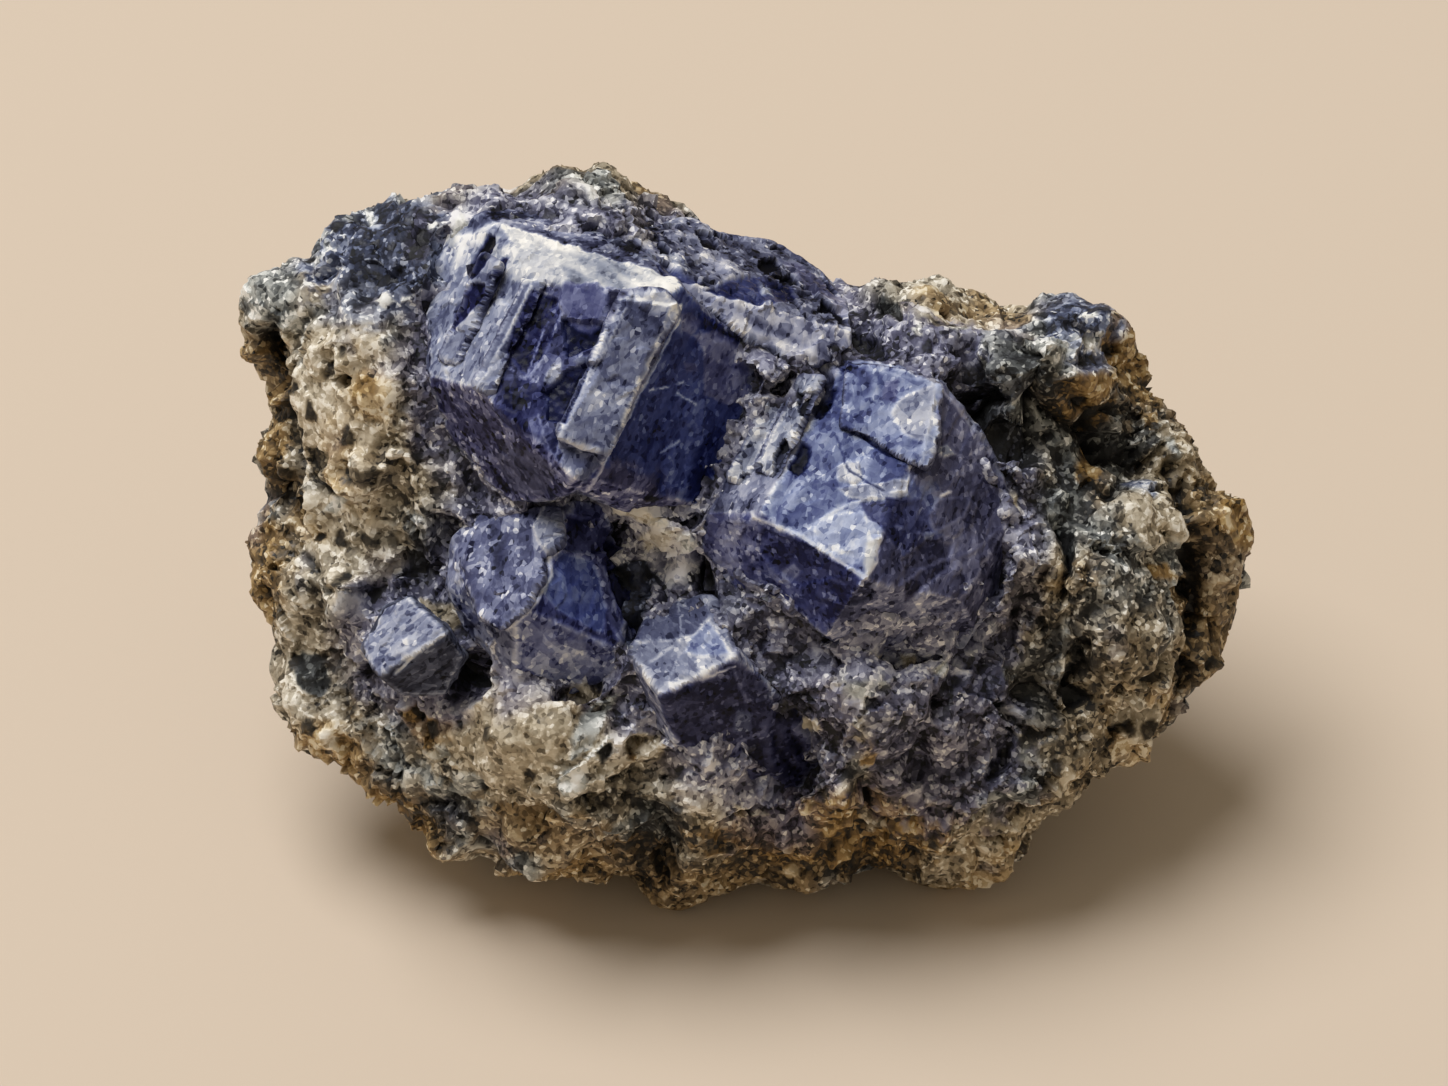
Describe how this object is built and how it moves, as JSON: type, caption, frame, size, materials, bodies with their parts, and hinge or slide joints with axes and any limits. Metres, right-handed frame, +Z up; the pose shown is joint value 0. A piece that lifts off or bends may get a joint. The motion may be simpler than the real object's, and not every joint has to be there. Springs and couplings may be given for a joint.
{
  "type": "rough iolite mineral specimen",
  "caption": "Hand-sized lump of grey and cream gneiss with blocky violet-blue iolite crystals on its leaning face, resting on a small flat spot.",
  "frame": {"origin": "middle of the specimen's box in plan, at the flat spot it rests on", "axes": "+X runs along the specimen's length, to the right when facing the crystals; -Y is the side that the crystal face leans back from; +Z is up"},
  "size_m": [0.0632, 0.0397, 0.0418],
  "materials": {
    "gneiss": "weathered cordierite gneiss, granular salt-and-pepper grey, cream and black with rust stains",
    "iolite": "natural iolite crystal, dark violet-blue and glassy where clean, pale and frosted where etched"
  },
  "bodies": {
    "root": {"gneiss_matrix": "gneiss", "main_crystal": "iolite", "right_crystal": "iolite", "lower_crystal": "iolite", "left_crystal": "iolite", "foot_crystal": "iolite"}
  },
  "joints": []
}
